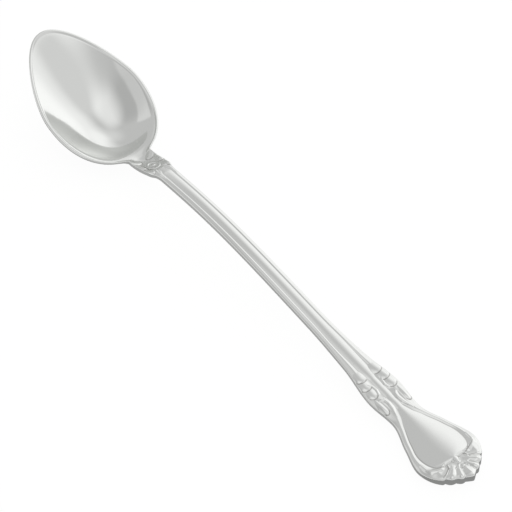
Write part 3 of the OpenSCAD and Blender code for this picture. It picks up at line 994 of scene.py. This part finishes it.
class SPOON_OT_handle(SpoonOperator, bpy.types.Operator):
    """Presses the shoulder scrolls, the grip and the shell end"""

    bl_idname = "spoon.handle"
    bl_label = "Handle"

    def execute(self, context):
        form = spoon_form()
        d = form.detail
        spans = [
            (form.shoulder_at, form.grip_at, d.shoulder_ribs),
            (form.grip_at, form.round_at, d.grip_ribs),
        ]
        places = [form.shoulder_at]
        for start, stop, count in spans:
            places += [mix(start, stop, i / count) for i in range(1, count + 1)]
        ribs = [form.straight_rib(place) for place in places]
        ribs += [form.end_rib(90 * i / d.end_ribs) for i in range(1, d.end_ribs + 1)]
        piece = close(press("spoon_handle", ribs, form), [form.shoulder_at])
        finish_piece(piece, "handle")
        return {"FINISHED"}


class SPOON_OT_stage(SpoonOperator, bpy.types.Operator):
    """Lays the pale floor, hangs the light tent and sets the camera"""

    bl_idname = "spoon.stage"
    bl_label = "Stage"

    def execute(self, context):
        own = settings().stage
        deselect()
        bpy.ops.mesh.primitive_plane_add(size=own.floor)
        floor = context.object
        floor.name = "stage_floor"
        floor.data.materials.append(white_floor())
        self.painted_shade_cards(context)
        self.painted_soft_light(context)
        self.tent(context)
        self.camera(context)
        context.scene.view_settings.view_transform = "Standard"
        return {"FINISHED"}

    def painted_shade_cards(self, context):
        """Glowing grey cards of painted shade along the spoon's -Y side and round its end. Only
        the steel sees them, so that the polished edges draw a line of painted shade against
        the white floor."""
        low, high = CAD_BOX
        spare, lift = 10 * MM, 0.05 * MM
        far, middle, past_end = -60 * MM, -1 * MM, 13 * MM
        places = {
            "side": (low[0] - spare, far, high[0] + spare, middle),
            "end": (high[0] - 6 * MM, middle, high[0] + spare, past_end),
        }
        for name, (x0, y0, x1, y1) in places.items():
            deselect()
            bpy.ops.mesh.primitive_plane_add(size=1)
            card = context.object
            # Each card is painted shade, seen only in the steel's reflections
            card.name = f"stage_{name}_card"
            card.scale = (x1 - x0, y1 - y0, 1)
            card.location = ((x0 + x1) / 2, (y0 + y1) / 2, lift)
            bpy.ops.object.transform_apply(location=True, rotation=False, scale=True)
            card.data.materials.append(painted_shade_card())
            self.show_in_steel_only(card)

    def painted_soft_light(self, context):
        """Painted reflection of a small soft light beside the bowl, turned to it: a glowing disc
        that only the steel sees and that lights nothing else.
        """
        radius = 30 * MM
        away = Vector((-0.34, 0.37, 0.866)) * 57 * MM
        centre = Vector((-72, 0, 8)) * MM + away
        deselect()
        bpy.ops.mesh.primitive_circle_add(vertices=48, radius=radius, fill_type="NGON")
        light = context.object
        light.name = "stage_soft_light"
        light.data.transform(Matrix.Translation(centre) @ away.to_track_quat("Z", "Y").to_matrix().to_4x4())
        light.data.materials.append(painted_light_glow(centre, radius, 0.167))
        self.show_in_steel_only(light)

    # Hides painted light and shade from all but the steel's reflections: the camera, light on other surfaces
    # and shadows pass them by
    def show_in_steel_only(self, thing):
        thing.visible_camera = thing.visible_diffuse = thing.visible_shadow = False
        thing.visible_transmission = False

    def tent(self, context):
        """A light tent: a bright wall on +Y, a grey one on -Y and soft boxes overhead."""
        world = bpy.data.worlds.new("Light tent")
        context.scene.world = world
        tree = fresh_tree(world)
        ray = add_node(tree, "ShaderNodeTexCoord").outputs["Generated"]

        def glow(azimuth, elevation, inner, outer, strength):
            """A soft round light: full inside one angle, gone outside the other."""
            a, e = radians(azimuth), radians(elevation)
            aim = (cos(a) * cos(e), sin(a) * cos(e), sin(e))
            facing = add_node(tree, "ShaderNodeVectorMath", {"operation": "DOT_PRODUCT"}, i0=ray, i1=aim)
            ramp = add_node(tree, "ShaderNodeMapRange", {"interpolation_type": "SMOOTHSTEP"},
                            Value=facing.outputs["Value"], i1=cos(radians(outer)), i2=cos(radians(inner)),
                            i3=0.0, i4=strength)
            return ramp.outputs["Result"]

        # Azimuth, elevation, inner and outer angle in degrees, and strength
        bright_wall = [
            (103, 23, 12, 47, 0.44), (92, 8, 8, 30, 0.14), (118, 42, 4, 16, 0.06), (140, 20, 5, 24, 0.09)
        ]
        soft_boxes = [(-46, 79, 0, 31, 0.32), (28, 40, 22, 48, 0.14)]
        above_grey_wall = [(-100, 50, 8, 32, -0.11)]
        lights = [glow(*values) for values in bright_wall + soft_boxes + above_grey_wall]
        # The grey wall has a straight top edge 44 degrees up, which the bowl mirrors as a patch
        grey_wall = glow(-103, 25, 37, 40, 0.16)
        below_edge = glow(0, -90, 133.5, 134.5, 1.0)
        lights.append(add_node(tree, "ShaderNodeMath", {"operation": "MULTIPLY"}, i0=below_edge,
                               i1=grey_wall).outputs["Value"])
        # The tent's own white, to which the lights are added
        total = 0.625
        for light in lights:
            added = add_node(tree, "ShaderNodeMath", {"operation": "ADD"}, i0=light, i1=total)
            total = added.outputs["Value"]
        sky = add_node(tree, "ShaderNodeBackground", Color=(1, 1, 1, 1), Strength=total)
        add_node(tree, "ShaderNodeOutputWorld", Surface=sky.outputs["Background"])

    def camera(self, context):
        own = settings().stage
        image = 512
        a, e, r = radians(own.azimuth), radians(own.elevation), radians(own.roll)
        back = Vector((-sin(a) * cos(e), -cos(a) * cos(e), sin(e)))
        right = (-back).cross(Vector((0, 0, 1))).normalized()
        up = right.cross(-back)
        turned_right = right * cos(r) - up * sin(r)
        turned_up = right * sin(r) + up * cos(r)
        deselect()
        bpy.ops.object.camera_add(location=back * own.distance)
        camera = context.object
        axes = Matrix((turned_right, turned_up, back)).transposed()
        camera.rotation_euler = axes.to_euler()
        lens = camera.data
        lens.sensor_width = 36
        lens.lens = own.scale * own.distance / MM / image * lens.sensor_width
        lens.shift_x = -own.centre[0] / image
        lens.shift_y = own.centre[1] / image
        lens.clip_end = 100
        context.scene.camera = camera


class SPOON_PT_panel(bpy.types.Panel):
    """Lists the spoon's sections"""

    bl_idname = "SPOON_PT_panel"
    bl_label = "Iced Tea Spoon"
    bl_space_type = "VIEW_3D"
    bl_region_type = "UI"
    bl_category = "Spoon"

    def draw(self, context):
        layout = self.layout
        own = settings()
        for group in (own.sizes, own.relief, own.finish, own.detail, own.stage):
            box = layout.box()
            for key in group.bl_rna.properties.keys():
                if key not in ("rna_type", "name"):
                    box.prop(group, key)
        for operator in OPERATORS:
            layout.operator(operator.bl_idname)


class SpoonSettings(bpy.types.PropertyGroup):
    """All the spoon's settings."""

    sizes: PointerProperty(name="Sizes", description="Sizes of the blank", type=SpoonSizes)
    relief: PointerProperty(name="Relief", description="Sizes of the ornament", type=SpoonRelief)
    finish: PointerProperty(name="Finish", description="Finish of the steel", type=SpoonFinish)
    stage: PointerProperty(name="Stage", description="Floor, studio and camera", type=SpoonStage)
    detail: PointerProperty(name="Detail", description="Fineness of the meshes", type=SpoonDetail)


OPERATORS = (SPOON_OT_bowl, SPOON_OT_neck, SPOON_OT_stem, SPOON_OT_handle, SPOON_OT_stage)
CLASSES = (SpoonSizes, SpoonRelief, SpoonFinish, SpoonStage, SpoonDetail, SpoonSettings)
CLASSES += OPERATORS + (SPOON_PT_panel,)


def register():
    for cls in CLASSES:
        bpy.utils.register_class(cls)
    bpy.types.Scene.spoon = PointerProperty(type=SpoonSettings)


def unregister():
    del bpy.types.Scene.spoon
    for cls in reversed(CLASSES):
        bpy.utils.unregister_class(cls)


def main():
    register()
    bpy.ops.spoon.bowl()
    bpy.ops.spoon.neck()
    bpy.ops.spoon.stem()
    bpy.ops.spoon.handle()
    bpy.ops.spoon.stage()


if __name__ == "__main__":
    main()
